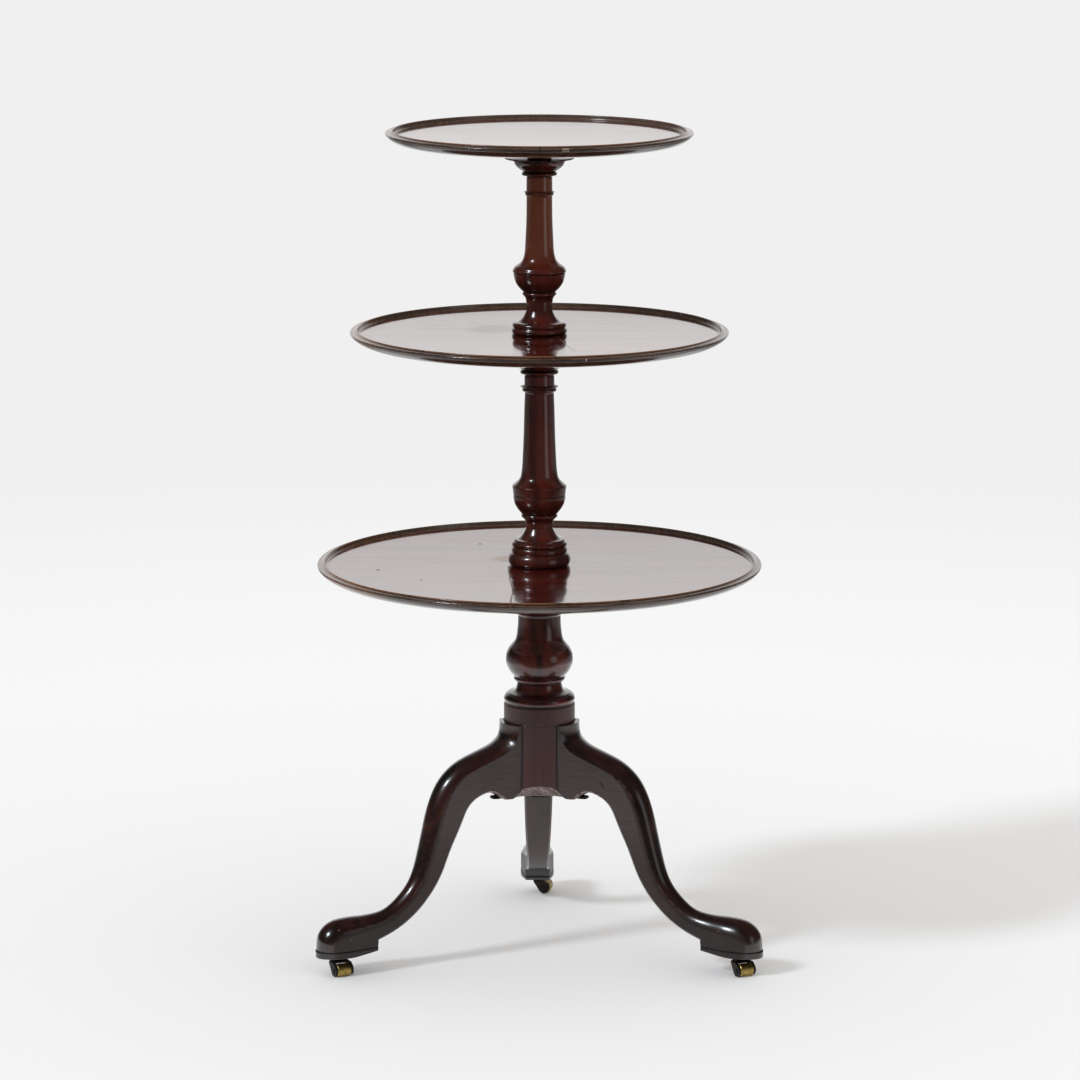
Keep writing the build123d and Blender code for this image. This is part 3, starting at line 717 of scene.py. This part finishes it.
def turn_mesh(name, profile):
    """Turn a profile about the column's axis."""
    count = len(profile)
    points = []
    faces = []
    for turn in range(TRAY_TURNS):
        angle = 2 * pi * turn / TRAY_TURNS
        points += [(out * cos(angle), out * sin(angle), height) for out, height in profile]
        here, following = turn * count, (turn + 1) % TRAY_TURNS * count
        faces += [
            (here + step, following + step, following + step + 1, here + step + 1)
            for step in range(count - 1)
        ]
    mesh = bpy.data.meshes.new(name)
    mesh.from_pydata(points, [], faces)
    shape = bmesh.new()
    shape.from_mesh(mesh)
    bmesh.ops.remove_doubles(shape, verts=shape.verts, dist=1e-6)
    bmesh.ops.recalc_face_normals(shape, faces=shape.faces)
    shape.to_mesh(mesh)
    shape.free()
    mesh.shade_smooth()
    mesh.set_sharp_from_angle(angle=radians(SHARP_EDGE))
    return mesh


def make_tray(tier, material):
    """Turn one tray finely, so that its polished rim mirrors the room without facets."""
    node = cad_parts[f"{tier}_tray"]
    mesh = turn_mesh(f"{tier}_tray_board", board_profile(tier, node))
    mesh.materials.append(material)
    board = bpy.data.objects.new(f"{tier}_tray_board", mesh)
    bpy.context.collection.objects.link(board)
    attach(board, f"{tier}_tray")
    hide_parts(f"{tier}_tray")


def turned_mahogany(name, tones, lay_marks=turned_marks):
    """Make the mahogany of a turned piece."""
    return mahogany(name, upright_grain, tones, TURNED_POLISH, lay_marks)


def finish_column():
    """Polish the hub and both stems."""
    column = turned_mahogany("column_mahogany", (BROWN_WOOD, RED_WOOD), column_marks)
    stem_tones = (STEM_BROWN, STEM_RED)
    dress(["base_column"], column)
    dress(["middle_stem"], turned_mahogany("middle_stem_mahogany", stem_tones))
    dress(["upper_stem"], turned_mahogany("upper_stem_mahogany", stem_tones, upper_stem_marks))


def finish_trays():
    """Turn and polish the boards, and polish the blocks that they turn on."""
    tray_tones = (TRAY_BROWN, TRAY_RED)
    for tier in TIERS:
        name, marks = f"{tier}_tray_mahogany", tray_marks(tier)
        make_tray(tier, mahogany(name, level_grain, tray_tones, TRAY_POLISH, marks, TRAY_RIPPLE))
        block = turned_mahogany(f"{tier}_block_mahogany", (BROWN_WOOD, RED_WOOD))
        dress([f"{tier}_tray_block"], block)


def finish_legs():
    """Polish the legs with their soles."""
    leg_tones = (DARK_WOOD_AND_SHADE, LEG_WOOD)
    for side in SIDES:
        name, marks = f"leg_{side}_mahogany", leg_marks(side)
        leg = mahogany(name, leg_grain(side), leg_tones, LEG_POLISH, marks)
        dress([f"leg_{side}", f"foot_sole_{side}"], leg)


def finish_metal():
    """Blacken the brace, the castors' plates, forks and axles, and dull the brass and screws."""
    iron = old_metal(
        "black_iron", BLACK_IRON, RUST, specks=(260.0, 4.0, 0.6), spread=(0.45, 0.8),
        metallic=0.6, dullness=(0.3, 0.35), dents=(0.3, 0.0006),
    )
    brass = old_metal(
        "old_brass", OLD_BRASS, TARNISH, specks=(180.0, 4.0, 0.65), spread=(0.42, 0.75),
        metallic=1.0, dullness=(0.35, 0.22), dents=(0.2, 0.0005),
    )
    steel = old_metal(
        "screw_steel", DULL_STEEL, SCREW_DIRT, specks=(400.0, 3.0, 0.6), spread=(0.4, 0.8),
        metallic=1.0, dullness=(0.3, 0.35),
    )
    dress(["tripod_brace"], iron)
    dress(["brace_screws"], steel)
    for side in SIDES:
        dress([f"castor_plate_{side}", f"castor_fork_{side}", f"castor_axle_{side}"], iron)
        dress([f"castor_roller_{side}"], brass)
        dress([f"castor_screws_{side}"], steel)
    dress([f"{tier}_tray_block_screws" for tier in TIERS], steel)


def make_world():
    """Light the room evenly, and show polish a pale backdrop behind and a dim room in front."""
    world = bpy.data.worlds.new("studio")
    bpy.context.scene.world = world
    world.use_nodes = True
    paint = Paint(world.node_tree)
    path = paint.node("ShaderNodeLightPath")
    backward = paint.split(paint.node("ShaderNodeTexCoord").output("Generated"))[1]
    gloss = backward.rise(*BACK_WALL_FROM) * (BACK_GLOSS - FRONT_GLOSS) + FRONT_GLOSS
    glossy = path.output("Is Glossy Ray")
    seen = path.output("Is Camera Ray").larger(path.output("Is Transmission Ray"))
    strength = glossy * gloss + seen + (1 - glossy.larger(seen)) * ROOM_LIGHT
    colour = paint.mix(seen, paint.mix(glossy, WARM_FILL, WARM_WALL), BACKDROP)
    light = paint.node("ShaderNodeBackground", None, {"Color": colour, "Strength": strength})
    paint.node("ShaderNodeOutputWorld", None, {"Surface": light})


def make_floor():
    """Lay the pale floor, which keeps the soft shadow and turns into backdrop far away."""
    bpy.ops.mesh.primitive_plane_add(size=FLOOR_SIZE, location=(0, 0, 0))
    floor = bpy.context.object
    floor.name = "studio_floor"
    material, paint = new_material("floor_white")
    x, y, z = place_of(paint)
    path = paint.node("ShaderNodeLightPath")
    glossy = path.output("Is Glossy Ray")
    away = (x * x + y * y).root()
    sides = away.rise(*DIM_AWAY) * (y - abs(x) * DIM_SLANT).below(*DIM_SIDES) * DIM_SHARE
    dim = glossy * y.below(*DIM_FRONT).larger(sides)
    far = path.output("Is Camera Ray").larger(glossy) * away.rise(*FLOOR_ENDS)
    glow_colour = paint.mix(dim, BACKDROP, (FRONT_GLOSS, FRONT_GLOSS, FRONT_GLOSS))
    shadow = paint.node("ShaderNodeBsdfDiffuse", None, {"Color": FLOOR_COLOUR})
    glow = paint.node("ShaderNodeEmission", None, {"Color": glow_colour, "Strength": 1.0})
    parts = {0: far.larger(dim), 1: shadow, 2: glow}
    surface = paint.node("ShaderNodeMixShader", None, parts)
    paint.node("ShaderNodeOutputMaterial", None, {"Surface": surface})
    floor.data.materials.append(material)


def place_lamp(lamp):
    """Bring a lamp into the studio."""
    holder = bpy.data.objects.new(lamp.name, lamp)
    bpy.context.collection.objects.link(holder)
    return holder


def make_key_lamp():
    """Shine the key light evenly from the upper left in front."""
    lamp = bpy.data.lights.new("key", "SUN")
    lamp.energy = KEY_STRENGTH
    lamp.angle = radians(KEY_SPREAD)
    lamp.color = KEY_COLOUR
    place_lamp(lamp).rotation_euler = Vector(KEY_FROM).to_track_quat("Z", "Y").to_euler()


def make_strip_lamp():
    """Stand a weak strip light at the right in front, which draws the streaks on turned work."""
    lamp = bpy.data.lights.new("strip", "AREA")
    lamp.energy = STRIP_POWER
    lamp.shape = "RECTANGLE"
    lamp.size, lamp.size_y = STRIP_SIZE
    holder = place_lamp(lamp)
    holder.location = STRIP_PLACE
    aim = Vector(STRIP_TARGET) - Vector(STRIP_PLACE)
    holder.rotation_euler = aim.to_track_quat("-Z", "Y").to_euler()


def make_camera():
    """Look at the table from where the photograph was taken."""
    data = bpy.data.cameras.new("camera")
    data.lens = CAMERA_LENS_MM
    data.sensor_width = SENSOR_MM
    data.clip_end = CAMERA_REACH
    camera = bpy.data.objects.new("camera", data)
    bpy.context.collection.objects.link(camera)
    camera.location = CAMERA_PLACE
    camera.rotation_euler = (radians(90 - CAMERA_TILT_DOWN), 0, 0)
    bpy.context.scene.camera = camera


finish_column()
finish_trays()
finish_legs()
finish_metal()
make_world()
make_floor()
make_key_lamp()
make_strip_lamp()
make_camera()
bpy.context.scene.view_settings.view_transform = "Standard"
